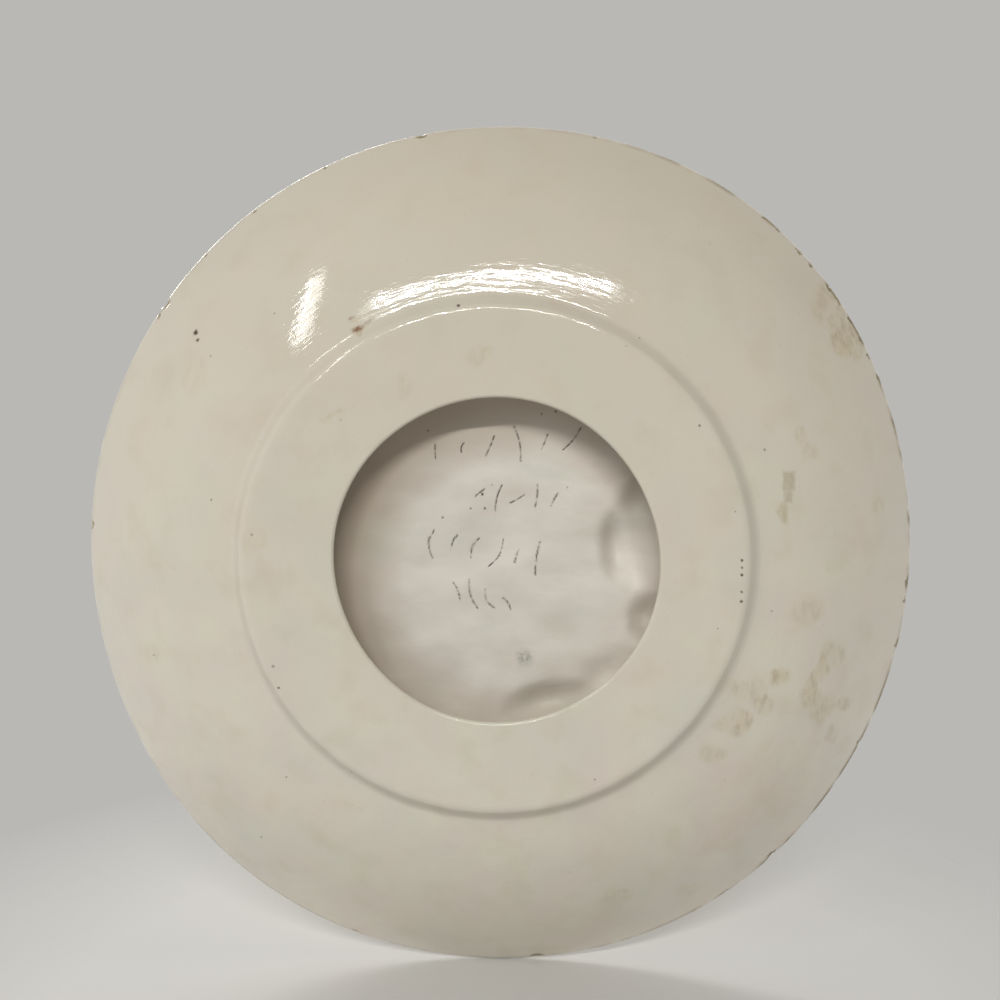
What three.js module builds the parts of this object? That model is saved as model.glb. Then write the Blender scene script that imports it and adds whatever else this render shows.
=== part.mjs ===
// Decorative wall plate: one fired piece of cream glazed earthenware with its back towards +Y.
// Millimetres, +Z up. The origin lies on the flat back ring, straight above the hand hole.
// "Depth" is measured from the flat back ring towards the front, so depth d is at y = -d.
// "Right" and "up" are as seen from behind the plate, counted from its centre.

import * as THREE from 'three';
import { mergeVertices } from 'three/addons/utils/BufferGeometryUtils.js';

// Rim and underside
const RIM_RADIUS = 189.5;
const RIM_DEPTH = 50;
const RIM_WALL = 5.6;
const RIM_SLOPE_DEG = 41;
const FOOT_SLOPE_DEG = 8;
const RIM_EASE = 28;
const FOOT_EASE = 36;

// Flat back ring with the hand hole, and the step round its outside
const HOLE_RADIUS = 66.7;
const RING_WIDTH = 36.6;
const RING_WALL = 6.5;
const RING_EDGE_ROUND = 1.2;
const LIP_ROUND = 0.9;
const STEP_RUN = 7.4;
const STEP_DEPTH = 6.6;
const STEP_TOE = 2.2;
const STEP_TOE_RISE = 0.77;
const RING_EDGE_START_DEG = -25;

// Hollow behind the ring, and the boss that it makes on the front
const HOLLOW_UNDERCUT = 12.5;
const HOLLOW_DEPTH = 18.5;
const HOLLOW_CURVE = 22;
const HOLLOW_CORNER = 2.6;
const BOSS_WALL = 7;
const BOSS_STEEPEST_DEG = 72;
const BOSS_FLARE = 9;
const WELL_WALL = 8.6;

// Slow bends of the rim's outline, and of the hand-cut hole's: lobes, swell and its direction in degrees
const RIM_BENDS = [
  { lobes: 2, swell: 2.03, phase: 163 },
  { lobes: 3, swell: 0.46, phase: 146 },
  { lobes: 4, swell: 0.49, phase: 190 },
  { lobes: 6, swell: 0.27, phase: -40 },
];
const HOLE_BENDS = [
  { lobes: 1, swell: 0.47, phase: 44 },
  { lobes: 2, swell: 0.44, phase: -88 },
  { lobes: 4, swell: 0.28, phase: -67 },
];
const HOLE_BEND_REACH = 20;

// Pockets pressed into the hollow's floor by hand, which stand out as soft mounds on the boss
const POCKETS = [
  { right: 58, up: 5, halfWidth: 15, halfHeight: 25, lean: 4, depth: 6.5 },
  { right: 50, up: 4, halfWidth: 7, halfHeight: 18, lean: 4, depth: 5 },
  { right: 63, up: 27, halfWidth: 13, halfHeight: 11, lean: 28, depth: 4.5 },
  { right: 66, up: -27, halfWidth: 12, halfHeight: 15, lean: 0, depth: 8 },
  { right: 23, up: -64, halfWidth: 24, halfHeight: 13, lean: 10, depth: 9 },
  { right: 50, up: -52, halfWidth: 22, halfHeight: 15, lean: 40, depth: 4 },
  { right: -34, up: 22, halfWidth: 26, halfHeight: 20, lean: 30, depth: 1.5 },
  { right: 12, up: 38, halfWidth: 30, halfHeight: 18, lean: -10, depth: 1.2 },
  { right: -22, up: -52, halfWidth: 20, halfHeight: 14, lean: -25, depth: 1.6 },
];

// Fineness of the faceted solid
const SEGMENTS = 72;
const UNDERSIDE_STEPS = 8;
const FLOOR_STEPS = 8;
const FLOOR_CROWDING = 0.7;
const SHOULDER_STEPS = 5;
const FILLET_STEPS = 3;
const EDGE_STEPS = 2;
const RIM_EDGE_STEPS = 5;

const rad = THREE.MathUtils.degToRad;
const smooth = THREE.MathUtils.smoothstep;
const mix = THREE.MathUtils.lerp;

const ringOuter = HOLE_RADIUS + RING_WIDTH;
const stepOuter = ringOuter + STEP_RUN;
const hollowRadius = HOLE_RADIUS + HOLLOW_UNDERCUT;
const floorRadius = hollowRadius - HOLLOW_CURVE;
const hollowCeiling = RING_WALL + HOLLOW_CORNER;
const bossFront = HOLLOW_DEPTH + BOSS_WALL;
const centreUp = -(HOLE_RADIUS + ringOuter) / 2;

// Every profile point is a Vector2 of radius and depth
const at = (radius, depth) => new THREE.Vector2(radius, depth);

function arc(centre, radius, fromDeg, toDeg, steps) {
  const points = [];
  for (let i = 0; i <= steps; i++) {
    const angle = rad(mix(fromDeg, toDeg, i / steps));
    points.push(at(centre.x + radius * Math.cos(angle), centre.y + radius * Math.sin(angle)));
  }
  return points;
}

// The underside runs from the step's toe to the rim in one curve that steepens all the way
function undersideCurve() {
  const foot = at(stepOuter, STEP_DEPTH);
  const rimSlope = rad(RIM_SLOPE_DEG);
  const footSlope = rad(FOOT_SLOPE_DEG);
  const half = RIM_WALL / 2;
  const rim = at(RIM_RADIUS - half + half * Math.sin(rimSlope), RIM_DEPTH - half * Math.cos(rimSlope));
  const footHandle = at(foot.x + FOOT_EASE * Math.cos(footSlope), foot.y + FOOT_EASE * Math.sin(footSlope));
  const rimHandle = at(rim.x - RIM_EASE * Math.cos(rimSlope), rim.y - RIM_EASE * Math.sin(rimSlope));
  return new THREE.CubicBezierCurve(foot, footHandle, rimHandle, rim);
}

// Radii of the flat floor's points, closer together towards the pockets at its edge
function floorRadii() {
  const radii = [];
  for (let i = 0; i < FLOOR_STEPS; i++) {
    radii.push(floorRadius * (i / FLOOR_STEPS) ** FLOOR_CROWDING);
  }
  return radii;
}

// A fillet that leaves one point level with the second and reaches the second along the well
function filletPoints(from, corner, to) {
  return new THREE.QuadraticBezierCurve(from, corner, to).getPoints(FILLET_STEPS).slice(1);
}

// Outside of the boss, from the axis over its shoulder and down a fillet into the well
function bossProfile() {
  const points = floorRadii().map((radius) => at(radius, bossFront));
  const width = HOLLOW_CURVE + BOSS_WALL;
  const height = bossFront - WELL_WALL;
  const steepest = rad(BOSS_STEEPEST_DEG);
  for (let i = 0; i <= SHOULDER_STEPS; i++) {
    const angle = steepest * i / SHOULDER_STEPS;
    points.push(at(floorRadius + width * Math.sin(angle), WELL_WALL + height * Math.cos(angle)));
  }
  const flank = points[points.length - 1];
  const run = (flank.y - WELL_WALL) * width / (height * Math.tan(steepest));
  const corner = at(flank.x + run, WELL_WALL);
  return [...points, ...filletPoints(flank, corner, at(corner.x + BOSS_FLARE, WELL_WALL))];
}

// Front of the well and rim: the underside moved forward by the wall, eased into the well
function rimFrontProfile(underside, well) {
  const front = underside.slice(1).map(({ point, tangent }) =>
    at(point.x - RIM_WALL * tangent.y, point.y + RIM_WALL * tangent.x));
  const { tangent } = underside[1];
  const corner = at(front[0].x - (front[0].y - well.y) * tangent.x / tangent.y, well.y);
  return [...filletPoints(well, corner, front[0]), ...front.slice(1)];
}

function rimEdgeProfile() {
  const centre = at(RIM_RADIUS - RIM_WALL / 2, RIM_DEPTH);
  return arc(centre, RIM_WALL / 2, RIM_SLOPE_DEG + 90, RIM_SLOPE_DEG - 90, RIM_EDGE_STEPS).slice(1, -1);
}

// Step, ring and the rounded lip of the hand hole, from the outside in
function ringProfile() {
  const toe = at(stepOuter - STEP_TOE, STEP_DEPTH - STEP_TOE_RISE);
  const edgeCentre = at(ringOuter - RING_EDGE_ROUND, RING_EDGE_ROUND);
  const shoulder = arc(edgeCentre, RING_EDGE_ROUND, RING_EDGE_START_DEG, -90, EDGE_STEPS);
  const middle = at((HOLE_RADIUS + ringOuter) / 2, 0);
  const lip = arc(at(HOLE_RADIUS + LIP_ROUND, LIP_ROUND), LIP_ROUND, -90, -180, EDGE_STEPS);
  return [toe, ...shoulder, middle, at(HOLE_RADIUS + HOLE_BEND_REACH / 3, 0), ...lip];
}

// Inside of the hollow, from the hand hole's inner edge to the axis
function hollowProfile() {
  const points = [
    at(HOLE_RADIUS, RING_WALL - LIP_ROUND),
    at(HOLE_RADIUS + LIP_ROUND, RING_WALL),
    at(hollowRadius - HOLLOW_CORNER, RING_WALL),
  ];
  for (let i = 0; i <= SHOULDER_STEPS; i++) {
    const angle = Math.PI / 2 * (1 - i / SHOULDER_STEPS);
    const radius = floorRadius + HOLLOW_CURVE * Math.sin(angle);
    points.push(at(radius, mix(hollowCeiling, HOLLOW_DEPTH, Math.cos(angle))));
  }
  return [...points, ...floorRadii().reverse().map((radius) => at(radius, HOLLOW_DEPTH))];
}

function plateProfile() {
  const curve = undersideCurve();
  const underside = [];
  for (let i = 0; i <= UNDERSIDE_STEPS; i++) {
    const t = i / UNDERSIDE_STEPS;
    underside.push({ point: curve.getPoint(t), tangent: curve.getTangent(t) });
  }
  const boss = bossProfile();
  const front = [...boss, ...rimFrontProfile(underside, boss[boss.length - 1])];
  const back = [...rimEdgeProfile(), ...underside.map(({ point }) => point).reverse(), ...ringProfile()];
  return { front, all: [...front, ...back, ...hollowProfile()] };
}

function bend(bends, angle) {
  return bends.reduce((sum, b) => sum + b.swell * Math.cos(b.lobes * angle - rad(b.phase)), 0);
}

// How far the pockets push the floor, and the boss over it, towards the front
function pocketDepth(right, up) {
  let depth = 0;
  for (const pocket of POCKETS) {
    const lean = rad(pocket.lean);
    const dx = right - pocket.right;
    const dy = up - pocket.up;
    const across = (dx * Math.cos(lean) + dy * Math.sin(lean)) / pocket.halfWidth;
    const along = (dy * Math.cos(lean) - dx * Math.sin(lean)) / pocket.halfHeight;
    const fall = Math.max(0, 1 - across * across - along * along);
    depth += pocket.depth * fall * fall;
  }
  return depth;
}

// Gives the turned shape its hand-made bends and pockets
function shapeByHand(geometry) {
  const position = geometry.getAttribute('position');
  const onFront = geometry.getAttribute('onFront');
  for (let i = 0; i < position.count; i++) {
    const right = -position.getX(i);
    const up = position.getZ(i);
    const depth = -position.getY(i);
    const radius = Math.hypot(right, up);
    const angle = Math.atan2(up, right);
    const rimShare = smooth(radius, stepOuter, RIM_RADIUS);
    const inHoleWall = depth <= RING_WALL + 0.01 && radius < ringOuter;
    const holeShare = inHoleWall ? 1 - smooth(radius, HOLE_RADIUS, HOLE_RADIUS + HOLE_BEND_REACH) : 0;
    const grown = radius + rimShare * bend(RIM_BENDS, angle) + holeShare * bend(HOLE_BENDS, angle);
    const scale = radius > 0 ? grown / radius : 1;
    const hollowShare = radius < ringOuter ? smooth(depth, hollowCeiling, HOLLOW_DEPTH) : 0;
    const bossShare = radius < ringOuter ? smooth(depth, WELL_WALL, bossFront) : 0;
    const pushed = depth + pocketDepth(right, up) * (onFront.getX(i) ? bossShare : hollowShare);
    position.setXYZ(i, -right * scale, -pushed, up * scale);
  }
}

function plateGeometry() {
  const { front, all } = plateProfile();
  const turned = new THREE.LatheGeometry(all.map((p) => new THREE.Vector2(p.x, -p.y)), SEGMENTS);
  const vertexCount = turned.getAttribute('position').count;
  const flags = Float32Array.from({ length: vertexCount }, (_, i) => (i % all.length < front.length ? 1 : 0));
  turned.setAttribute('onFront', new THREE.BufferAttribute(flags, 1));
  turned.deleteAttribute('normal');
  turned.deleteAttribute('uv');
  const geometry = mergeVertices(turned, 0.001);
  shapeByHand(geometry);
  geometry.deleteAttribute('onFront');
  geometry.computeVertexNormals();
  return geometry;
}

const creamGlaze = new THREE.MeshStandardMaterial({ color: 0xcbc4b3, roughness: 0.22, metalness: 0 });

const plate = new THREE.Mesh(plateGeometry(), creamGlaze);
plate.name = 'wall_plate';
plate.position.z = centreUp;

const group = new THREE.Group();
group.add(plate);

export default group;
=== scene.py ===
import math

import bmesh
import bpy
from mathutils import Matrix, Vector, kdtree, noise
from mathutils.geometry import interpolate_bezier


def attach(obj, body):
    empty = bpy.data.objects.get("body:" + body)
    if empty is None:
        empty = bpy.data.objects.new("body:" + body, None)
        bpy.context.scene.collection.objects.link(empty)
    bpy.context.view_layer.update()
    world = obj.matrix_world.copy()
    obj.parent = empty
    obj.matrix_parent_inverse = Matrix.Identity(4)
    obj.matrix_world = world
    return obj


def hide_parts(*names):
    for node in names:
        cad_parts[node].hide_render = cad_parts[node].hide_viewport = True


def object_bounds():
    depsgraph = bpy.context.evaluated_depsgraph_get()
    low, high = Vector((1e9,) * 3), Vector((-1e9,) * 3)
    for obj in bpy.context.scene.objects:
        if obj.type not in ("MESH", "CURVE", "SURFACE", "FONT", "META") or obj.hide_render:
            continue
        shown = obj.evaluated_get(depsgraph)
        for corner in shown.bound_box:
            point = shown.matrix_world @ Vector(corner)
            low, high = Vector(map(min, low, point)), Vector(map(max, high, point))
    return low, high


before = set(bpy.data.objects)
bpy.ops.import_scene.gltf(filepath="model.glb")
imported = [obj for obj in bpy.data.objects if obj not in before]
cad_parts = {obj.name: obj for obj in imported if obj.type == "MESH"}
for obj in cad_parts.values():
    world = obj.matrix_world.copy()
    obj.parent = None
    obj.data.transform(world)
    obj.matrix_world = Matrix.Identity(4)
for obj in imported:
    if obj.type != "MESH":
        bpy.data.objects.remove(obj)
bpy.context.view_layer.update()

MM = 0.001
NODE = "wall_plate"

# Rim and underside. The radius is 0.1 mm less than the solid's, so that the mesh stays in its box.
RIM_RADIUS = 189.4
RIM_DEPTH = 50
RIM_WALL = 5.6
RIM_SLOPE_DEG = 41
FOOT_SLOPE_DEG = 8
RIM_EASE = 28
FOOT_EASE = 36

# Flat back ring, the step round it and the lip of the hand hole. The line of the step's face meets
# the ring's plane a little outside the ring, by SHOULDER_OUT.
HOLE_RADIUS = 66.7
RING_WIDTH = 36.6
RING_WALL = 6.5
LIP_ROUND = 1.4
LIP_LEAN = 2.2
STEP_RUN = 7.4
STEP_DEPTH = 6.6
STEP_FACE_DEG = 52
SHOULDER_OUT = 0.7
SHOULDER_RUN = 3
SHOULDER_DROP = 1.3
TOE_DROP = 1.9

# Hollow and boss
HOLLOW_UNDERCUT = 12.5
HOLLOW_DEPTH = 18.5
HOLLOW_CURVE = 22
HOLLOW_CORNER = 2.6
BOSS_WALL = 7
BOSS_STEEPEST_DEG = 72
BOSS_FLARE = 9
WELL_WALL = 8.6

RING_OUTER = HOLE_RADIUS + RING_WIDTH
RING_FLAT_OUTER = RING_OUTER - 2
STEP_OUTER = RING_OUTER + STEP_RUN
HOLLOW_RADIUS = HOLE_RADIUS + HOLLOW_UNDERCUT
FLOOR_RADIUS = HOLLOW_RADIUS - HOLLOW_CURVE
HOLLOW_CEILING = RING_WALL + HOLLOW_CORNER
BOSS_FRONT = HOLLOW_DEPTH + BOSS_WALL
CENTRE_UP = -(HOLE_RADIUS + RING_OUTER) / 2
# Points of the turned plate this close to a boundary count as lying on it
ON_THE_LINE = 0.1

# Slow bends: lobes, swell in mm and direction in degrees
RIM_BENDS = [(2, 2.03, 163), (3, 0.46, 146), (4, 0.49, 190), (6, 0.27, -40)]
HOLE_BENDS = [(1, 0.47, 44), (2, 0.44, -88), (4, 0.28, -67)]
RING_BENDS = [(1, 0.9, 175), (5, 0.12, 60)]
HOLE_BEND_REACH = 20
RING_BEND_INSIDE = 10
RING_BEND_OUTSIDE = 15

# Unevenness from working by hand: height in mm, how far apart the bumps are in mm, and a seed
BACK_WAVES = [(0.16, 45, 3), (0.05, 16, 9)]
STEP_WAVES = [(0.22, 9, 2)]
HOLLOW_WAVES = [(0.75, 22, 1), (0.3, 9, 6)]
WEAR_WAVES = [(1, 13, 11), (0.4, 4, 5)]
CHIP_WAVES = [(0.8, 1.6, 5)]
TAPE_WAVES = [(0.5, 2, 12)]
STAIN_WAVES = [(3, 7, 14)]
# The hollow was wiped from side to side, which draws its bumps out
WIPED = 0.7
# The underside's waves grow from the step's foot outwards, and end before the rim
WAVES_FROM = STEP_OUTER + 4
WAVES_FULL = STEP_OUTER + 20
WAVES_FADE = RIM_RADIUS - 14
WAVES_GONE = RIM_RADIUS - 6

# Pockets pressed in by hand: right, up, half width, half height, lean in degrees, depth
POCKETS = [
    (58, 5, 15, 25, 4, 6.5),
    (50, 4, 7, 18, 4, 5),
    (63, 27, 13, 11, 28, 4.5),
    (66, -27, 12, 15, 0, 8),
    (23, -64, 24, 13, 10, 9),
    (50, -52, 22, 15, 40, 4),
    (-34, 22, 26, 20, 30, 1.5),
    (12, 38, 30, 18, -10, 1.2),
    (-22, -52, 20, 14, -25, 1.6),
]
# The wall hides pockets shallower than this from the front
SHOWS_IN_FRONT = 3

# Steps round the plate, and along each part of its profile
TURNS = 240
BOSS_TOP_STEPS = 15
WALL_STEPS = 14
WELL_STEPS = 6
RIM_EDGE_STEPS = 10
UNDERSIDE_STEPS = 40
TOE_STEPS = 8
FACE_STEPS = 3
SHOULDER_STEPS = 9
RING_STEPS = 14
LIP_STEPS = 8
LIP_BACK_STEPS = 3
CEILING_STEPS = 4
FLOOR_SPACING = 2.2
# The front follows the underside from this point of it on
FRONT_START = 5
# Edges near a small mark are cut in a few passes, until none is longer than the mark asks, with some
# slack, or than the shortest edge that is worth cutting
SHORTEST_EDGE = 0.4
EDGE_SLACK = 1.4
CUTTING_PASSES = 4

# Specks in the glaze and pinholes in the hollow, as right, up, radius and strength
SPECKS = [
    (-131, 97, 1.2, 1.0), (-129.5, 93.5, 0.8, 0.9), (-122, 86, 0.5, 0.5), (-93, 103, 0.4, 0.5),
    (-119, 25, 0.5, 0.6), (-151, -44, 0.5, 0.5), (-104, -125, 0.5, 0.6), (-89, -52, 0.5, 0.9),
    (-91, -43, 0.6, 0.5), (-89, -93, 0.4, 0.6), (-15, 104, 0.7, 0.9), (59, 92, 0.4, 0.5),
    (53, 88, 0.4, 0.4), (83, 56, 0.5, 0.7), (111, 46, 0.5, 0.6), (98, 21, 0.4, 0.5),
    (101, 1, 0.6, 0.9), (101, -2, 0.5, 0.8), (101, -5, 0.6, 1.0), (101, -12, 0.5, 0.8),
    (101, -16, 0.6, 0.9), (91, -27, 0.4, 0.5), (115, -21, 0.4, 0.5), (41, -90, 0.4, 0.6),
    (-99, 11, 0.5, 0.5), (-60, -88, 0.4, 0.5), (-63, 58, 0.4, 0.4),
]
PINHOLES = [
    (-6, 27, 0.6, 1.0), (-11, 21, 0.5, 0.8), (-5, 21, 0.5, 0.9), (-23, 17, 0.5, 0.8),
    (19, 61, 0.4, 0.8), (25, 62, 0.5, 0.9), (-29, 54, 0.5, 0.6), (26, 64, 0.4, 0.7),
    (-2, 31, 0.4, 0.5), (30, 30, 0.4, 0.6),
]
# Brownish soaked-in stains, as right, up, half width, half height, lean and strength
STAINS = [
    (144, 112, 5, 13, -28, 0.6), (150, 103, 5, 14, -28, 0.55), (155, 95, 5, 12, -28, 0.7),
    (150, 92, 7, 6, 0, 0.7), (161, 90, 4, 8, -28, 0.5), (119, 20, 3, 6, 20, 0.5),
    (81, 170, 9, 3, -35, 0.35), (127, 52, 5, 6, 0, 0.45), (132, 45, 5, 5, 0, 0.35),
    (168, 23, 4, 6, 0, 0.3), (119, -50, 5, 4, 20, 0.6), (112, -61, 6, 5, 10, 0.5),
    (100, -52, 4, 4, 0, 0.3), (140, -49, 5, 6, 0, 0.55), (135, -60, 6, 5, 0, 0.5),
    (142, -68, 7, 6, 30, 0.6), (149, -79, 5, 7, 0, 0.4), (94, -70, 5, 4, 0, 0.35),
    (104, -68, 4, 4, 0, 0.4), (51, -148, 9, 6, 20, 0.35), (84, -149, 7, 5, 0, 0.3),
    (-152, -43, 12, 5, 10, 0.3), (-129, 78, 8, 12, 0, 0.28), (-56, 94, 4, 2, 25, 0.95),
    (-58, 99, 4, 2.5, 30, 0.5), (-99, 9, 5, 6, 0, 0.3), (75, -119, 5, 8, 0, 0.25),
    (-20, 150, 40, 14, 0, 0.14), (20, -165, 60, 12, 0, 0.16), (-150, 60, 14, 30, 0, 0.14),
    (125, -100, 20, 26, 0, 0.2), (-8, 83, 7, 5, 0, 0.35), (-66, 59, 9, 2, 20, 0.4),
    (-37, 72, 4, 7, 0, 0.35), (130, -22, 11, 8, 0, 0.45), (144, -42, 9, 8, 0, 0.45),
    (108, -55, 9, 8, 0, 0.4), (101, -69, 9, 7, 0, 0.5), (91, -82, 8, 6, 0, 0.4),
    (136, -51, 3, 11, -18, 0.8), (119, -49, 6, 3, 20, 0.7), (152, -66, 5, 4, 0, 0.5),
]
# Stains wider than this are too soft to need a finer mesh
WIDE_STAIN = 13
# Pale brown marks left by strips of tape, as right, up, half width, half height and strength
TAPE_MARKS = [(121.5, 33, 2.9, 4.2, 0.75), (121, 26.5, 2.2, 2.6, 0.65), (119.5, 19, 1.1, 3.4, 0.4)]
# Rusty smears rubbed into the glaze, in the same order as the stains
SMEARS = [(-56, 94, 3.4, 1.1, 32, 1.0), (-60, 100, 2.2, 1.0, 40, 0.6), (-52, 97, 2.4, 0.9, 30, 0.45)]
# Places where the rim is chipped down to the fired clay, as right, up, half width and depth of bite
CHIPS = [
    (-34, 187, 1.7, 0.7), (-77, 173, 1.0, 0.5), (-111, 155, 1.0, 0.5), (-132, 133, 0.9, 0.5),
    (-151, 112, 1.9, 0.9), (-154.5, 107, 1.4, 0.8), (44, 186, 1.0, 0.5), (118, 149, 1.0, 0.6),
    (124, 143, 0.9, 0.6), (134, 134, 1.1, 0.8), (140, 128, 1.2, 0.8), (148, 118, 1.0, 0.7),
    (153, 111, 0.9, 0.6), (158, 104, 1.0, 0.7), (163, 96, 0.9, 0.6), (167, 88, 1.0, 0.6),
    (172, 79, 0.8, 0.5), (186.5, -15, 1.3, 0.7), (186, -22, 1.1, 0.6), (183.5, -43, 1.2, 0.7),
    (165.5, -88, 1.1, 0.6), (126, -140.5, 2.0, 0.8), (18, -189, 2.2, 0.5), (-187, 12, 1.1, 0.7),
    (-66, -177, 1.1, 0.5),
]
# A chip is longer along the rim than across it, and its middle lies a little inside the edge
CHIP_STRETCH = 2.1
CHIP_INSET = 1.1
# Chips reach no further than this from the edge, inwards and backwards
CHIP_ZONE = 9
# A chip is deepest, and bare, over these shares of its half width
CHIP_DEEPEST = 0.35
CHIP_BARE = 0.5
CHIP_BARE_END = 0.8
# Worn glaze along the edge, and painted shade where it grows along the right: how far inside the rim
# it starts and is full, how soft its patches are, how much of it the left side has, and where it
# grows to the full at the right
WEAR_START = 2.3
WEAR_FULL = 1.1
WEAR_SOFT = 0.25
WEAR_LEFT = 0.2
RIGHT_SHADE_GROWS = 20
RIGHT_SHADE_GROWN = 140
# Specks and pinholes: the core and the soft edge as shares of the radius, and how ragged it is
SPOT_CORE = 0.6
SPOT_EDGE = 1.35
SPOT_RAGGED = 0.35
# How fast a stain gains strength from its edge inwards
STAIN_GAIN = 1.6
# Where a tape mark begins and is full, measured inwards from its edge
TAPE_BEGINS = -0.3
TAPE_FULL = 0.7

# Rows of shallow strokes scratched in the hollow: right and up of the first, step to the next,
# the lengths of the strokes, and their lean from upright in degrees
STROKE_ROWS = [
    ((-26, 46), (11.6, 0.9), (6, 4, 9, 15, 7, 12), 12),
    ((-7, 27), (7.9, -0.6), (5, 12, 7, 11, 6), 34),
    ((-27, 6), (8.9, -1.3), (12, 7, 9, 13, 6, 14), 30),
    ((-17, -15), (7.1, -1.2), (8, 13, 9, 6), -20),
]
STROKE_WIDTH = 0.5
STROKE_DEPTH = 0.22
# How much the strokes turn, stray, bow, and press or skip
STROKE_TURN_DEG = 75
STROKE_STRAY = 2.5
STROKE_BOW = 0.3
STROKE_FIRM = 0.75
STROKE_SKIP = 1.1

# Attributes that carry the marks from the mesh to the two materials
GLAZE_MARKS = ("speck", "stain", "tape", "rust", "bare")
SLIP_MARK = "stroke"

# Painted shade: the glaze is painted darker in the plate's upper part, from DARK_FROM to DARK_FULL above
# its centre
DARK_FROM = -90
DARK_FULL = 190
# Painted shade: the slip is painted browner and darker from the first distance below to the second,
# counted from a place in the hollow given as right, out and up, so that it darkens under the lip. A smudge
# lies on the hollow's floor.
SLIP_MIDDLE = (10, 0, -8)
LIP_SHADE_FROM = 49
LIP_SHADE_FULL = 74
SMUDGE = (12, -20, -43)
SMUDGE_INNER = 0.5
SMUDGE_OUTER = 5

# Floor, which fades out from STAGE_FADE to STAGE_GONE round its centre
STAGE_RADIUS = 400
STAGE_DROP = 0.5
STAGE_OUT = -10
STAGE_FADE = 190
STAGE_GONE = 360

# Camera, with its place as right, up and out from the plate's centre
LENS = 36.25
SENSOR = 36
CAMERA_PLACE = (10.2, 45.9, 409.1)
CAMERA_YAW_DEG = 1.17
CAMERA_PITCH_DEG = -2.86

# Bar lamps, as name, the two ends, width and watts. Two make the long bright arc above the ring and
# the soft glow round it, two the short highlight beside it, and one lights the dished front.
LAMPS = [
    ("long_lamp", ((-880, 1470, 2400), (780, 1690, 2400)), 60, 37),
    ("long_shade", ((-980, 1440, 2400), (860, 1680, 2400)), 330, 8.4),
    ("side_lamp", ((-935, 800, 1270), (-1000, 1240, 800)), 34, 0.8),
    ("side_shade", ((-900, 780, 1290), (-970, 1290, 810)), 120, 2.3),
    ("front_lamp", ((-1150, 620, -1300), (-350, 1150, -1300)), 420, 9),
]
LAMP_COLOUR = "#fffefa"

# The room's light starts pale in front of the plate. Over it lie a greyer back, a dark ceiling at the
# back, a pale floor, a pale left side and a hint of it at the right: each colour with the ways that
# it lies in, as axis, where it starts and is full, and how strong it is there.
ROOM_FRONT = "#f2f0ed"
ROOM_SIDES = [
    ("#92908d", ("Y", -0.6, 0.4, 1.0)),
    ("#232322", ("Z", 0.0, 0.6, 0.9), ("Y", -0.6, -0.1, 1.0)),
    ("#f0eeeb", ("Z", -0.1, -0.7, 0.85)),
    ("#f4f3f1", ("X", 0.0, 1.0, 0.62)),
    ("#e8e7e5", ("X", 0.0, -1.0, 0.1)),
]
# What the camera sees round the plate
BACKDROP = "#b9b8b5"


def srgb(code):
    """A hex colour as the linear colour that a shader takes."""
    shares = [int(code[i : i + 2], 16) / 255 for i in (1, 3, 5)]
    return (*(s / 12.92 if s <= 0.04045 else ((s + 0.055) / 1.055) ** 2.4 for s in shares), 1)


def smooth(value, low, high):
    """Rises softly from 0 at low to 1 at high."""
    share = min(1, max(0, (value - low) / (high - low)))
    return share * share * (3 - 2 * share)


def place(right, up, out):
    """A place seen from behind the plate, in metres in the model's frame."""
    return Vector((-right, out, CENTRE_UP + up)) * MM


# Profile of the turned plate, as points of radius and depth


def arc(centre, radius, start_deg, end_deg, steps):
    angles = [math.radians(start_deg + (end_deg - start_deg) * i / steps) for i in range(steps + 1)]
    return [(centre[0] + radius * math.cos(a), centre[1] + radius * math.sin(a)) for a in angles]


def straight(start, end, steps):
    return [tuple(Vector(start).lerp(Vector(end), i / steps)) for i in range(steps + 1)]


def curve(start, start_handle, end_handle, end, steps):
    flat = [Vector((*p, 0)) for p in (start, start_handle, end_handle, end)]
    return [(p.x, p.y) for p in interpolate_bezier(*flat, steps + 1)]


def fillet(start, corner, end, steps):
    """A soft turn that leaves start and reaches end along the two sides of a corner."""
    handles = [tuple(Vector(corner).lerp(Vector(p), 1 / 3)) for p in (start, end)]
    return curve(start, handles[0], handles[1], end, steps)


def underside_points():
    """From the step's toe to the rim, steepening all the way."""
    rim_slope = math.radians(RIM_SLOPE_DEG)
    foot_slope = math.radians(FOOT_SLOPE_DEG)
    half = RIM_WALL / 2
    foot = (STEP_OUTER, STEP_DEPTH)
    rim = (RIM_RADIUS - half + half * math.sin(rim_slope), RIM_DEPTH - half * math.cos(rim_slope))
    foot_handle = (foot[0] + FOOT_EASE * math.cos(foot_slope), foot[1] + FOOT_EASE * math.sin(foot_slope))
    rim_handle = (rim[0] - RIM_EASE * math.cos(rim_slope), rim[1] - RIM_EASE * math.sin(rim_slope))
    return curve(foot, foot_handle, rim_handle, rim, UNDERSIDE_STEPS)


def front_points(underside):
    """The underside moved forward by the wall, from the well to the rim."""
    moved = []
    for a, b in zip(underside[FRONT_START::2], underside[FRONT_START + 1 :: 2]):
        along = Vector((b[0] - a[0], b[1] - a[1])).normalized()
        moved.append((b[0] - RIM_WALL * along.y, b[1] + RIM_WALL * along.x))
    return moved


def boss_points():
    """From the axis over the boss's shoulder to the foot of its flank."""
    width, height = HOLLOW_CURVE + BOSS_WALL, BOSS_FRONT - WELL_WALL
    shoulder = []
    for i in range(WALL_STEPS + 1):
        angle = math.radians(BOSS_STEEPEST_DEG) * i / WALL_STEPS
        shoulder.append((FLOOR_RADIUS + width * math.sin(angle), WELL_WALL + height * math.cos(angle)))
    return straight((0, BOSS_FRONT), (FLOOR_RADIUS, BOSS_FRONT), BOSS_TOP_STEPS)[:-1] + shoulder


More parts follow.
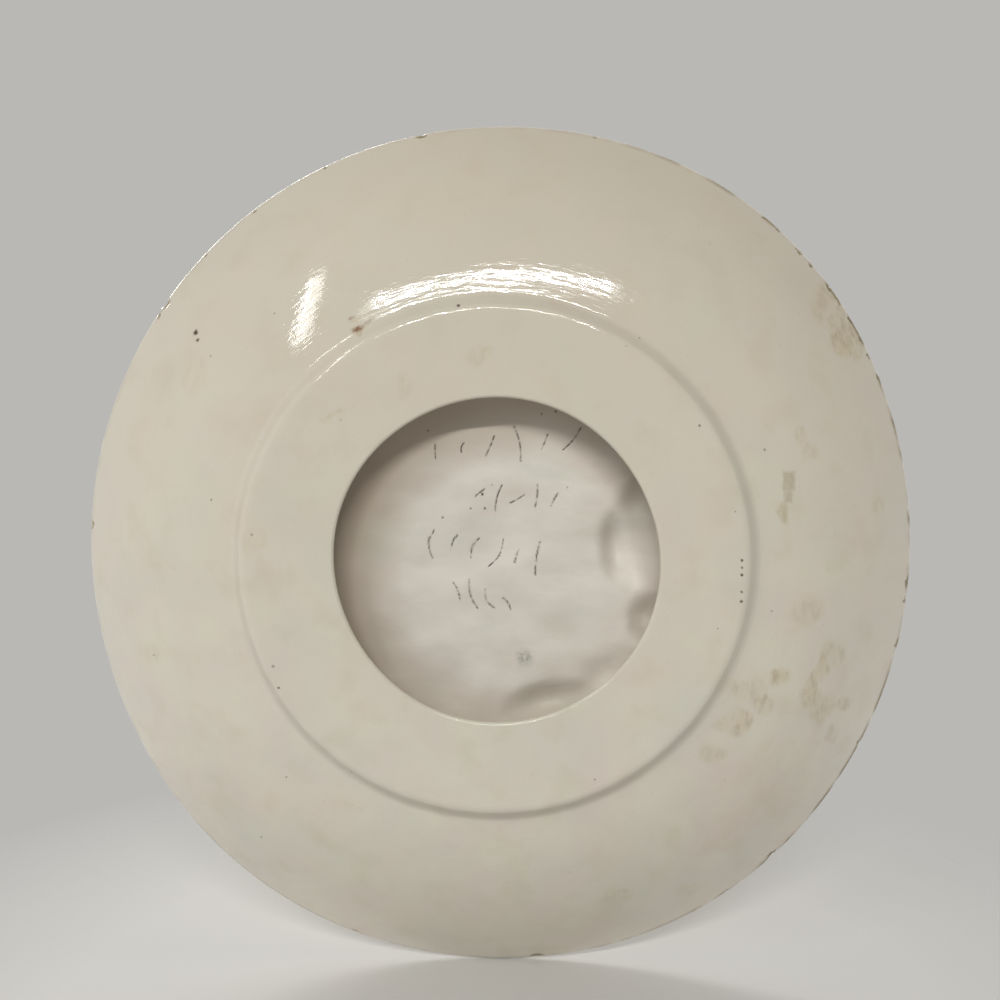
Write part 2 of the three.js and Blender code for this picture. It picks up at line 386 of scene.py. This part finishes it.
def ring_points():
    """Toe, step face, rounded shoulder, ring and lip, from the outside in."""
    face = math.tan(math.radians(STEP_FACE_DEG))
    foot = math.tan(math.radians(FOOT_SLOPE_DEG))
    toe_end = (STEP_OUTER, STEP_DEPTH)
    face_line = RING_OUTER + SHOULDER_OUT
    corner_out = (face * face_line - foot * STEP_OUTER + STEP_DEPTH) / (face - foot)
    toe_corner = (corner_out, (corner_out - face_line) * face)
    toe_top = (toe_corner[0] - TOE_DROP / face, toe_corner[1] - TOE_DROP)
    shoulder_end = (face_line + SHOULDER_DROP / face, SHOULDER_DROP)
    shoulder = fillet(shoulder_end, (face_line, 0), (face_line - SHOULDER_RUN, 0), SHOULDER_STEPS)
    toe = fillet(toe_end, toe_corner, toe_top, TOE_STEPS)[1:]
    flat = straight(shoulder[-1], (HOLE_RADIUS + LIP_ROUND, 0), RING_STEPS)[1:-1]
    lip = arc((HOLE_RADIUS + LIP_ROUND, LIP_ROUND), LIP_ROUND, -90, -180, LIP_STEPS)
    face_part = straight(toe_top, shoulder_end, FACE_STEPS)[1:-1]
    return toe + face_part + shoulder + flat + lip


def hollow_points():
    """From the hole's inner edge round the undercut to the axis."""
    lip_centre = (HOLE_RADIUS + LIP_LEAN + LIP_ROUND, RING_WALL - LIP_ROUND)
    inner = arc(lip_centre, LIP_ROUND, 180, 90, LIP_BACK_STEPS)
    ceiling = straight(inner[-1], (HOLLOW_RADIUS - HOLLOW_CORNER, RING_WALL), CEILING_STEPS)[1:]
    wall = []
    for i in range(WALL_STEPS + 1):
        angle = math.pi / 2 * (1 - i / WALL_STEPS)
        depth = HOLLOW_CEILING + (HOLLOW_DEPTH - HOLLOW_CEILING) * math.cos(angle)
        wall.append((FLOOR_RADIUS + HOLLOW_CURVE * math.sin(angle), depth))
    steps = round(FLOOR_RADIUS / FLOOR_SPACING)
    return inner + ceiling + wall + straight((FLOOR_RADIUS, HOLLOW_DEPTH), (0, HOLLOW_DEPTH), steps)[1:]


def plate_profile():
    """The whole profile: from the boss's middle out to the rim, and back to the hollow's middle."""
    boss = boss_points()
    front = front_points(UNDERSIDE)
    flank = boss[-1]
    steepest = math.tan(math.radians(BOSS_STEEPEST_DEG))
    fall = (BOSS_FRONT - WELL_WALL) * steepest / (HOLLOW_CURVE + BOSS_WALL)
    corner = (flank[0] + (flank[1] - WELL_WALL) / fall, WELL_WALL)
    well = (corner[0] + BOSS_FLARE, WELL_WALL)
    rise = (front[1][1] - front[0][1]) / (front[1][0] - front[0][0])
    turn = (front[0][0] - (front[0][1] - WELL_WALL) / rise, WELL_WALL)
    half = RIM_WALL / 2
    rim_centre = (RIM_RADIUS - half, RIM_DEPTH)
    edge = arc(rim_centre, half, RIM_SLOPE_DEG + 90, RIM_SLOPE_DEG - 90, RIM_EDGE_STEPS)
    return (
        boss
        + fillet(flank, corner, well, WELL_STEPS)[1:]
        + fillet(well, turn, front[0], WELL_STEPS)[1:]
        + front[1:]
        + edge[1:-1]
        + UNDERSIDE[::-1]
        + ring_points()
        + hollow_points()
    )


UNDERSIDE = underside_points()


# Hand-made shape: where each point of the turned plate really lies


def hollow_wall_depth(radius):
    if radius <= FLOOR_RADIUS:
        return HOLLOW_DEPTH
    share = min(1, (radius - FLOOR_RADIUS) / HOLLOW_CURVE)
    return HOLLOW_CEILING + (HOLLOW_DEPTH - HOLLOW_CEILING) * math.sqrt(1 - share * share)


def underside_depth(radius):
    if radius <= STEP_OUTER:
        return STEP_DEPTH * smooth(radius, RING_FLAT_OUTER, STEP_OUTER)
    for (near, near_depth), (far, far_depth) in zip(UNDERSIDE, UNDERSIDE[1:]):
        if radius <= far:
            return near_depth + (far_depth - near_depth) * (radius - near) / (far - near)
    return RIM_DEPTH


def side_of(radius, depth):
    """front, hollow or back, for a point of the turned plate."""
    if radius < HOLLOW_RADIUS + ON_THE_LINE and depth > RING_WALL - ON_THE_LINE:
        return "hollow" if depth < hollow_wall_depth(radius) + BOSS_WALL / 3 else "front"
    in_front = depth > underside_depth(radius) + RIM_WALL / 4
    return "front" if in_front and radius < RIM_RADIUS - RIM_WALL / 2 else "back"


def bend(bends, angle):
    return sum(swell * math.cos(lobes * angle - math.radians(phase)) for lobes, swell, phase in bends)


def ripple(point, size, seed):
    """Even noise from -1 to 1 whose bumps are about size apart."""
    return noise.noise(Vector(point) / size + Vector((seed, 2 * seed, 3 * seed)))


def waves(point, sizes):
    return sum(height * ripple(point, size, seed) for height, size, seed in sizes)


def in_oval(right, up, oval):
    """How deep a point lies in a leaning oval, from 0 at its edge to 1 in its middle."""
    x, y, half_width, half_height, lean = oval[:5]
    turn = math.radians(lean)
    dx, dy = right - x, up - y
    across = (dx * math.cos(turn) + dy * math.sin(turn)) / half_width
    along = (dy * math.cos(turn) - dx * math.sin(turn)) / half_height
    return max(0, 1 - across * across - along * along)


def pocket_depth(right, up, shallowest=0):
    """How far the pockets push a point forward, counting those of at least a given depth."""
    return sum(p[5] * in_oval(right, up, p) ** 2 for p in POCKETS if p[5] >= shallowest)


def strokes():
    """The scratched strokes, each as its two ends."""
    made = []
    for (right, up), (step_right, step_up), lengths, lean in STROKE_ROWS:
        for i, length in enumerate(lengths):
            turn = math.radians(lean + STROKE_TURN_DEG * ripple((right, up, i * 9), 5, 4))
            x = right + step_right * i
            y = up + step_up * i + STROKE_STRAY * ripple((i * 7, up, right), 5, 7)
            half = Vector((math.sin(turn), math.cos(turn))) * length / 2
            made.append((Vector((x, y)) - half, Vector((x, y)) + half))
    return made


STROKES = strokes()


def stroke_share(right, up):
    """1 in the middle of a scratched stroke, falling to 0 at its edges and where it skips."""
    spot = Vector((right, up))
    best = 0
    for a, b in STROKES:
        along = b - a
        share = min(1, max(0, (spot - a).dot(along) / along.length_squared))
        sideways = Vector((along.y, -along.x))
        bow = sideways * STROKE_BOW * ripple((a.x, b.y, 2), 5, 9) * math.sin(math.pi * share)
        off = (spot - a - along * share - bow).length
        if off < STROKE_WIDTH:
            firm = STROKE_FIRM + STROKE_SKIP * ripple((a.x, share * along.length, b.y), 1.3, 3)
            best = max(best, min(1, max(0, firm)) * (1 - smooth(off, STROKE_WIDTH * 0.2, STROKE_WIDTH)))
    return best


def chip_bite(right, up, radius):
    """How far a chip eats into the rim, in mm, and how bare the clay is there."""
    bite = bare = 0
    if radius < RIM_RADIUS - CHIP_ZONE:
        return bite, bare
    for x, y, half_width, deep in CHIPS:
        if right * x + up * y < 0:
            continue
        along_rim = (right * y - up * x) / math.hypot(x, y)
        off = math.hypot(along_rim / CHIP_STRETCH, radius - RIM_RADIUS + CHIP_INSET)
        off += waves((right, up, 0), CHIP_WAVES)
        bite = max(bite, deep * (1 - smooth(off, half_width * CHIP_DEEPEST, half_width)))
        bare = max(bare, 1 - smooth(off, half_width * CHIP_BARE, half_width * CHIP_BARE_END))
    return bite, bare


def spot_share(right, up, spots, seed):
    """How strongly a point lies in a small ragged spot, such as a speck or a pinhole."""
    best = 0
    for x, y, radius, strength in spots:
        off = math.hypot(right - x, up - y)
        if off < radius * 2:
            off += SPOT_RAGGED * radius * ripple((right, up, 0), radius * 0.9, seed)
            best = max(best, strength * (1 - smooth(off, radius * SPOT_CORE, radius * SPOT_EDGE)))
    return best


def stain_share(right, up, stains):
    """How strongly a point is stained. Its place is stirred first, so that no oval shows."""
    total = 0
    right += waves((right, up, 0), STAIN_WAVES)
    up += waves((up, right, 5), STAIN_WAVES)
    for stain in stains:
        deep = in_oval(right, up, stain)
        if deep:
            total += stain[5] * min(1, deep * STAIN_GAIN)
    return min(1, total)


def tape_share(right, up):
    """How strongly a point is marked by tape, with ragged edges."""
    best = 0
    for x, y, half_width, half_height, strength in TAPE_MARKS:
        inside = min(half_width - abs(right - x), half_height - abs(up - y))
        inside += waves((right, up, 0), TAPE_WAVES)
        best = max(best, strength * smooth(inside, TAPE_BEGINS, TAPE_FULL))
    return best


def edge_wear_and_shade(right, up, radius):
    """Glaze worn along the outermost edge in patches, with painted shade that makes it stronger on the
    right.
    """
    edge = smooth(radius, RIM_RADIUS - WEAR_START, RIM_RADIUS - WEAR_FULL)
    if not edge:
        return 0
    worn = smooth(waves((right, up, 0), WEAR_WAVES), -WEAR_SOFT, WEAR_SOFT)
    return edge * worn * (WEAR_LEFT + (1 - WEAR_LEFT) * smooth(right, RIGHT_SHADE_GROWS, RIGHT_SHADE_GROWN))


# Mesh


def turned_plate():
    """The profile spun once round the plate's axis, still in mm and centred on it."""
    bm = bmesh.new()
    verts = [bm.verts.new((radius, -depth, 0)) for radius, depth in plate_profile()]
    edges = [bm.edges.new(pair) for pair in zip(verts, verts[1:])]
    bmesh.ops.spin(
        bm, geom=verts + edges, axis=(0, 1, 0), cent=(0, 0, 0), angle=math.tau, steps=TURNS, use_merge=True
    )
    bmesh.ops.remove_doubles(bm, verts=bm.verts, dist=0.001)
    bmesh.ops.recalc_face_normals(bm, faces=bm.faces)
    return bm


def fine_spots():
    """Places that need a finer mesh: right, up, side, reach round them and the longest edge there."""
    spots = []
    for a, b in STROKES:
        steps = max(1, round((b - a).length))
        spots += [(*a.lerp(b, i / steps), "hollow", 1.5, 0.42) for i in range(steps + 1)]
    spots += [(x, y, "hollow", r + 1, 0.4) for x, y, r, _ in PINHOLES]
    spots += [(x, y, "back", r + 1, 0.4) for x, y, r, _ in SPECKS]
    spots += [(x, y, "back", w + 2, 0.8) for x, y, w, _ in CHIPS]
    spots += [(x, y, "back", w + 1, 0.5) for x, y, w, _, _, _ in SMEARS]
    spots += [(x, y, "back", h + 1, 0.6) for x, y, _, h, _ in TAPE_MARKS]
    spots += [(x, y, "back", max(w, h), 1.6) for x, y, w, h, _, _ in STAINS if max(w, h) < WIDE_STAIN]
    return spots


def too_long(edge, spots, tree, widest, side):
    """Whether an edge is too long to carry the small marks round it."""
    length = edge.calc_length()
    if length < SHORTEST_EDGE:
        return False
    middle = (edge.verts[0].co + edge.verts[1].co) / 2
    found = tree.find_range((-middle.x, middle.z, 0), widest + length)
    near = [spots[i] for _, i, far in found if far < spots[i][3] + length / 2]
    if not near or length <= min(s[4] for s in near) * EDGE_SLACK:
        return False
    return side_of(math.hypot(middle.x, middle.z), -middle.y) == side


def refine(bm):
    """Cuts the edges round the small marks until they are short enough to carry them."""
    for side in ("hollow", "back"):
        spots = [s for s in fine_spots() if s[2] == side]
        widest = max(s[3] for s in spots)
        tree = kdtree.KDTree(len(spots))
        for i, spot in enumerate(spots):
            tree.insert((spot[0], spot[1], 0), i)
        tree.balance()
        for _ in range(CUTTING_PASSES):
            long_edges = [edge for edge in bm.edges if too_long(edge, spots, tree, widest, side)]
            if not long_edges:
                break
            bmesh.ops.subdivide_edges(bm, edges=long_edges, cuts=1, use_grid_fill=True)


def grown_radius(right, up, depth, side):
    """The radius with the slow bends of the rim, the hole and the step."""
    radius = math.hypot(right, up)
    angle = math.atan2(up, right)
    grown = radius + smooth(radius, STEP_OUTER, RIM_RADIUS) * bend(RIM_BENDS, angle)
    if depth <= RING_WALL + 0.01 and radius < RING_FLAT_OUTER:
        near_hole = 1 - smooth(radius, HOLE_RADIUS, HOLE_RADIUS + HOLE_BEND_REACH)
        grown += near_hole * bend(HOLE_BENDS, angle)
    if side == "back":
        near_step = smooth(radius, RING_FLAT_OUTER - RING_BEND_INSIDE, RING_FLAT_OUTER)
        near_step *= 1 - smooth(radius, STEP_OUTER, STEP_OUTER + RING_BEND_OUTSIDE)
        grown += near_step * (bend(RING_BENDS, angle) + waves((right, up, 0), STEP_WAVES))
    return grown


def pushed_depth(right, up, depth, side, scratch):
    """The depth with the pressed pockets, the scratched strokes and the waves of the clay."""
    radius = math.hypot(right, up)
    if side == "hollow":
        share = smooth(depth, HOLLOW_CEILING, HOLLOW_DEPTH)
        uneven = waves((right * WIPED, up, 0), HOLLOW_WAVES)
        return depth + (share * (pocket_depth(right, up) + uneven) + STROKE_DEPTH * scratch)
    if side == "front":
        share = smooth(depth, WELL_WALL, BOSS_FRONT) if radius < RING_OUTER else 0
        return depth + share * pocket_depth(right, up, SHOWS_IN_FRONT)
    share = smooth(radius, WAVES_FROM, WAVES_FULL) * (1 - smooth(radius, WAVES_FADE, WAVES_GONE))
    return depth + waves((right, up, 0), BACK_WAVES) * share


def shape_by_hand(bm):
    """Moves every point to where the hand-made plate has it, and notes its marks."""
    layers = {name: bm.verts.layers.float.new(name) for name in (*GLAZE_MARKS, SLIP_MARK)}
    for vert in bm.verts:
        right, up, depth = -vert.co.x, vert.co.z, -vert.co.y
        radius = math.hypot(right, up)
        side = side_of(radius, depth)
        scratch = stroke_share(right, up) if side == "hollow" else 0
        if side == "hollow":
            vert[layers[SLIP_MARK]] = max(scratch, spot_share(right, up, PINHOLES, 8))
        elif side == "back":
            vert[layers["speck"]] = spot_share(right, up, SPECKS, 6)
            vert[layers["stain"]] = stain_share(right, up, STAINS)
            vert[layers["tape"]] = tape_share(right, up)
            vert[layers["rust"]] = stain_share(right, up, SMEARS)
        bite, bare = chip_bite(right, up, radius)
        in_zone = depth > RIM_DEPTH - CHIP_ZONE
        # The bare mark: chipped clay, and worn glaze along the edge that is painted shade on the right
        vert[layers["bare"]] = max(bare if in_zone else 0, edge_wear_and_shade(right, up, radius))
        grown = grown_radius(right, up, depth, side)
        inward = (grown - bite) / radius if radius > 0 else 1
        vert.co = (-right * inward, -pushed_depth(right, up, depth, side, scratch), up * inward)


def make_plate(glaze, slip):
    bm = turned_plate()
    refine(bm)
    for face in bm.faces:
        middle = face.calc_center_median()
        face.smooth = True
        face.material_index = int(side_of(math.hypot(middle.x, middle.z), -middle.y) == "hollow")
    shape_by_hand(bm)
    bmesh.ops.scale(bm, vec=(MM, MM, MM), verts=bm.verts)
    bmesh.ops.translate(bm, vec=(0, 0, CENTRE_UP * MM), verts=bm.verts)
    mesh = bpy.data.meshes.new("glazed_plate")
    bm.to_mesh(mesh)
    bm.free()
    mesh.materials.append(glaze)
    mesh.materials.append(slip)
    plate = bpy.data.objects.new("glazed_plate", mesh)
    bpy.context.scene.collection.objects.link(plate)
    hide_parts(NODE)
    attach(plate, "root")


# Materials


def add(tree, kind, sockets=(), **settings):
    """Adds a node, sets its options, and links or sets its inputs."""
    made = tree.nodes.new(kind)
    for name, value in settings.items():
        setattr(made, name, value)
    for name, value in dict(sockets).items():
        if isinstance(value, bpy.types.NodeSocket):
            tree.links.new(value, made.inputs[name])
        else:
            made.inputs[name].default_value = value
    return made


def new_material(name):
    material = bpy.data.materials.new(name)
    material.use_nodes = True
    tree = material.node_tree
    tree.nodes.clear()
    return material, tree


def object_spot(tree):
    """Object coordinates counted from the plate's centre."""
    coordinates = add(tree, "ShaderNodeTexCoord").outputs["Object"]
    centred = {"Vector": coordinates, "Location": (0, 0, -CENTRE_UP * MM)}
    return add(tree, "ShaderNodeMapping", centred).outputs[0]


def spot_at(right, out, up):
    """A place counted from the plate's centre, in metres as a material reads it."""
    return (-right * MM, out * MM, up * MM)


def patches(tree, spot, size_mm, start, full, least=0.0, most=1.0, detail=3.0, rough=0.5):
    """Soft patches about size_mm across, which rise where a noise passes from start to full."""
    grain = {"Vector": spot, "Scale": 1 / (size_mm * MM), "Detail": detail, "Roughness": rough}
    value = add(tree, "ShaderNodeTexNoise", grain).outputs["Fac"]
    ends = {"Value": value, "From Min": start, "From Max": full, "To Min": least, "To Max": most}
    return add(tree, "ShaderNodeMapRange", ends).outputs[0]


def layered(tree, colour, layers):
    """Lays colours over a first one, each by the product of its shares from 0 to 1."""
    for over, share, *others in layers:
        for other in others:
            share = add(tree, "ShaderNodeMath", {0: share, 1: other}, operation="MULTIPLY").outputs[0]
        over = srgb(over) if isinstance(over, str) else over
        colour = add(tree, "ShaderNodeMix", {0: share, 6: colour, 7: over}, data_type="RGBA").outputs[2]
    return colour


def embossed(tree, patterns):
    """A surface bumped by one pattern after another, each with its height in mm."""
    below = {}
    for pattern, height_mm in patterns:
        sockets = {"Height": pattern, "Distance": height_mm * MM, "Strength": 1.0, **below}
        below = {"Normal": add(tree, "ShaderNodeBump", sockets).outputs[0]}
    return below["Normal"]


def turning_marks(tree, spot, turns, spacing_mm):
    """Streaks that run round the plate, from noise that changes slowly round it and fast outwards."""
    flat = add(tree, "ShaderNodeVectorMath", {0: spot, 1: (1, 0, 1)}, operation="MULTIPLY").outputs[0]
    radius = add(tree, "ShaderNodeVectorMath", {0: flat}, operation="LENGTH").outputs["Value"]
    way = add(tree, "ShaderNodeVectorMath", {0: flat}, operation="NORMALIZE").outputs[0]
    slow = add(tree, "ShaderNodeVectorMath", {0: way, "Scale": turns}, operation="SCALE").outputs[0]
    spaced = {0: radius, 1: 1 / (spacing_mm * MM)}
    steps = add(tree, "ShaderNodeMath", spaced, operation="MULTIPLY").outputs[0]
    fast = add(tree, "ShaderNodeCombineXYZ", {"Y": steps}).outputs[0]
    both = add(tree, "ShaderNodeVectorMath", {0: slow, 1: fast}, operation="ADD").outputs[0]
    grain = {"Vector": both, "Scale": 1.0, "Detail": 2.0, "Roughness": 0.5}
    return add(tree, "ShaderNodeTexNoise", grain).outputs["Fac"]


def cream_glaze():
    """Cream lead glaze poured over pale earthenware: glossy and slightly wavy, so highlights run in
    streaks round the plate; warm cream with faint pink and green clouds, and brown soaked-in stains,
    with painted shade that darkens the upper part and the right edge.
    The finer streaks, 1.7 mm apart, and the specks of dirt in the stains, 3.2 mm, are drawn coarser
    than real, because the real ones are too fine to show."""
    material, tree = new_material("cream_lead_glaze")
    spot = object_spot(tree)
    drips = add(tree, "ShaderNodeMapping", {"Vector": spot, "Scale": (1, 1, 0.45)}).outputs[0]
    mark = {
        name: add(tree, "ShaderNodeAttribute", attribute_name=name).outputs["Fac"] for name in GLAZE_MARKS
    }
    height = add(tree, "ShaderNodeSeparateXYZ", {0: spot}).outputs["Z"]
    # Painted shade: the glaze darkens towards the plate's upper part
    upper_part = {"Value": height, "From Min": DARK_FROM * MM, "From Max": DARK_FULL * MM, "To Max": 0.8}
    painted_upper_shade = add(tree, "ShaderNodeMapRange", upper_part).outputs[0]
    dirt = patches(tree, drips, 3.2, 0.44, 0.66, detail=6, rough=0.66)
    deep_stain = {"Value": mark["stain"], "From Min": 0.15, "From Max": 0.7, "To Max": 0.62}
    stained = add(tree, "ShaderNodeMapRange", deep_stain).outputs[0]
    soaked = add(tree, "ShaderNodeMath", {0: stained, 1: dirt}, operation="MULTIPLY").outputs[0]
    fine = {"Vector": spot, "Scale": 1 / (1.2 * MM), "Detail": 3.0}
    grains = add(tree, "ShaderNodeTexNoise", fine).outputs["Fac"]
    clay = layered(tree, srgb("#6d6146"), [("#b3a587", grains)])
    colour = layered(
        tree,
        srgb("#d8d3c4"),
        [
            ("#d5cdc2", patches(tree, spot, 26, 0.35, 0.65)),
            ("#cccec1", patches(tree, spot, 41, 0.47, 0.66, most=0.45)),
            ("#dacbbf", patches(tree, spot, 33, 0.5, 0.68, most=0.35, detail=2)),
            # Painted shade over the upper part
            ("#c8bfae", painted_upper_shade),
            ("#c2b79c", patches(tree, spot, 17, 0.52, 0.72, most=0.25, detail=4)),
            ("#8f8468", patches(tree, spot, 1.3, 0.76, 0.8, most=0.3, detail=1)),
            ("#c8ba98", mark["stain"], 0.5),
            ("#968668", soaked, 0.75),
            ("#a89b7c", mark["tape"], patches(tree, drips, 1.6, 0.3, 0.7, 0.45, 0.9, detail=4)),
            ("#74452f", mark["rust"], patches(tree, spot, 1.4, 0.36, 0.6, 0.25, detail=5, rough=0.7)),
            ("#4a3626", mark["speck"]),
            # Bare clay in chips and worn patches; along the right edge this is painted shade
            (clay, mark["bare"]),
        ],
    )
    soft = {"Vector": spot, "Scale": 1 / (3.2 * MM), "Detail": 3.0}
    orange_peel = add(tree, "ShaderNodeTexNoise", soft).outputs["Fac"]
    wide_streaks = turning_marks(tree, spot, 6, 5.0)
    fine_streaks = turning_marks(tree, spot, 12, 1.7)
    normal = embossed(tree, [(wide_streaks, 0.03), (fine_streaks, 0.085), (orange_peel, 0.032)])
    rough = patches(tree, spot, 14, 0.3, 0.7, 0.04, 0.08)
    for share, extra in ((soaked, 0.3), (mark["bare"], 0.6)):
        rougher = {0: share, 1: extra, 2: rough}
        rough = add(tree, "ShaderNodeMath", rougher, operation="MULTIPLY_ADD").outputs[0]
    finish = {"Base Color": colour, "Roughness": rough, "Normal": normal, "IOR": 1.52}
    shader = add(tree, "ShaderNodeBsdfPrincipled", finish).outputs[0]
    add(tree, "ShaderNodeOutputMaterial", {"Surface": shader})
    return material


def thin_slip():
    """Thin pale slip inside the hollow, sponged on over pressed clay: whiter and duller than the
    glaze, with soft grey-green clouds, brown painted shade under the lip, and dark grit in
    the scratched strokes and pinholes. Its grain of 1.1 mm is drawn coarser than real, to show."""
    material, tree = new_material("sponged_white_slip")
    spot = object_spot(tree)
    wiped = add(tree, "ShaderNodeMapping", {"Vector": spot, "Scale": (0.5, 1, 1)}).outputs[0]
    stroke = add(tree, "ShaderNodeAttribute", attribute_name=SLIP_MARK).outputs["Fac"]
    flat = add(tree, "ShaderNodeVectorMath", {0: spot, 1: (1, 0, 1)}, operation="MULTIPLY").outputs[0]
    # Painted shade: browner and darker towards the lip and under it
    ends = {0: flat, 1: spot_at(*SLIP_MIDDLE)}
    reach = add(tree, "ShaderNodeVectorMath", ends, operation="DISTANCE").outputs["Value"]
    outer_part = {"Value": reach, "From Min": LIP_SHADE_FROM * MM, "From Max": LIP_SHADE_FULL * MM, "To Max": 0.85}
    lip_shade = add(tree, "ShaderNodeMapRange", outer_part).outputs[0]
    ends = {0: spot, 1: spot_at(*SMUDGE)}
    far = add(tree, "ShaderNodeVectorMath", ends, operation="DISTANCE").outputs["Value"]
    inner_part = {"Value": far, "From Min": SMUDGE_OUTER * MM, "From Max": SMUDGE_INNER * MM}
    smudged = add(tree, "ShaderNodeMapRange", inner_part).outputs[0]
    colour = layered(
        tree,
        srgb("#dad5cc"),
        [
            ("#cdc5bb", patches(tree, wiped, 14, 0.35, 0.68, detail=4)),
            ("#cbccc0", patches(tree, wiped, 19, 0.5, 0.68, most=0.75, detail=5)),
            # Painted shade under the lip
            ("#a99a88", lip_shade),
            ("#7f857a", smudged, patches(tree, spot, 1.2, 0.36, 0.6, detail=5, rough=0.7)),
            ("#3b3029", stroke),
        ],
    )
    wide = {"Vector": wiped, "Scale": 1 / (5 * MM), "Detail": 4.0}
    fine = {"Vector": spot, "Scale": 1 / (1.1 * MM), "Detail": 3.0}
    dabs = add(tree, "ShaderNodeTexNoise", wide).outputs["Fac"]
    grain = add(tree, "ShaderNodeTexNoise", fine).outputs["Fac"]
    normal = embossed(tree, [(dabs, 0.2), (grain, 0.02)])
    finish = {"Base Color": colour, "Roughness": 0.5, "Normal": normal, "IOR": 1.5}
    shader = add(tree, "ShaderNodeBsdfPrincipled", finish).outputs[0]
    add(tree, "ShaderNodeOutputMaterial", {"Surface": shader})
    return material


def pale_floor_finish(centre):
    """Matt pale paper, fading out far from the plate so that no horizon shows."""
    material, tree = new_material("pale_paper_floor")
    coordinates = add(tree, "ShaderNodeTexCoord").outputs["Object"]
    ends = {0: coordinates, 1: centre}
    far = add(tree, "ShaderNodeVectorMath", ends, operation="DISTANCE").outputs["Value"]
    paper = add(tree, "ShaderNodeBsdfPrincipled", {"Base Color": srgb("#d2d1cf"), "Roughness": 0.85})
    clear = add(tree, "ShaderNodeBsdfTransparent")
    outer_part = {"Value": far, "From Min": STAGE_FADE * MM, "From Max": STAGE_GONE * MM}
    fade = add(tree, "ShaderNodeMapRange", outer_part).outputs[0]
    mixed = {0: fade, 1: paper.outputs[0], 2: clear.outputs[0]}
    shader = add(tree, "ShaderNodeMixShader", mixed).outputs[0]
    add(tree, "ShaderNodeOutputMaterial", {"Surface": shader})
    return material


# Stage, lamps and camera


def make_floor():
    floor_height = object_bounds()[0].z
    bm = bmesh.new()
    bmesh.ops.create_circle(bm, cap_ends=True, segments=96, radius=STAGE_RADIUS * MM)
    below = (0, STAGE_OUT * MM, floor_height - STAGE_DROP * MM)
    bmesh.ops.translate(bm, vec=below, verts=bm.verts)
    mesh = bpy.data.meshes.new("floor")
    bm.to_mesh(mesh)
    bm.free()
    mesh.materials.append(pale_floor_finish(Vector((0, STAGE_OUT * MM, floor_height))))
    floor = bpy.data.objects.new("floor", mesh)
    bpy.context.scene.collection.objects.link(floor)


def make_lamp(name, ends, width, watts):
    """A bar lamp between two ends, facing the plate."""
    a, b = (place(*end) for end in ends)
    centre = (a + b) / 2
    along = (b - a).normalized()
    back = (centre - place(0, 0, 0)).normalized()
    across = back.cross(along).normalized()
    data = bpy.data.lights.new(name, "AREA")
    data.shape = "RECTANGLE"
    data.size = (b - a).length
    data.size_y = width * MM
    data.energy = watts
    data.color = srgb(LAMP_COLOUR)[:3]
    lamp = bpy.data.objects.new(name, data)
    bpy.context.scene.collection.objects.link(lamp)
    turn = Matrix((along, across, along.cross(across))).transposed().to_4x4()
    lamp.matrix_world = Matrix.Translation(centre) @ turn


def make_world():
    """A room that is pale in front of the plate and below it, and dark overhead at its back."""
    world = bpy.data.worlds.new("pale_room")
    bpy.context.scene.world = world
    world.use_nodes = True
    tree = world.node_tree
    tree.nodes.clear()
    way = add(tree, "ShaderNodeTexCoord").outputs["Object"]
    parts = add(tree, "ShaderNodeSeparateXYZ", {0: way}).outputs
    layers = []
    for code, *sides in ROOM_SIDES:
        shares = []
        for axis, start, full, most in sides:
            ends = {"Value": parts[axis], "From Min": start, "From Max": full, "To Max": most}
            shares.append(add(tree, "ShaderNodeMapRange", ends).outputs[0])
        layers.append((code, *shares))
    lit = layered(tree, srgb(ROOM_FRONT), layers)
    seen = add(tree, "ShaderNodeBackground", {"Color": srgb(BACKDROP), "Strength": 1.0}).outputs[0]
    felt = add(tree, "ShaderNodeBackground", {"Color": lit, "Strength": 1.0}).outputs[0]
    straight_on = add(tree, "ShaderNodeLightPath").outputs["Is Camera Ray"]
    shader = add(tree, "ShaderNodeMixShader", {0: straight_on, 1: felt, 2: seen}).outputs[0]
    add(tree, "ShaderNodeOutputWorld", {"Surface": shader})


def make_camera():
    data = bpy.data.cameras.new("camera")
    data.lens = LENS
    data.sensor_width = SENSOR
    camera = bpy.data.objects.new("camera", data)
    bpy.context.scene.collection.objects.link(camera)
    yaw, pitch = math.radians(CAMERA_YAW_DEG), math.radians(CAMERA_PITCH_DEG)
    back = Vector((-math.sin(yaw) * math.cos(pitch), math.cos(yaw) * math.cos(pitch), -math.sin(pitch)))
    camera.location = place(*CAMERA_PLACE)
    camera.rotation_euler = back.to_track_quat("Z", "Y").to_euler()
    bpy.context.scene.camera = camera


make_camera()
make_plate(cream_glaze(), thin_slip())
make_floor()
for lamp_facts in LAMPS:
    make_lamp(*lamp_facts)
make_world()
bpy.context.scene.view_settings.view_transform = "Standard"
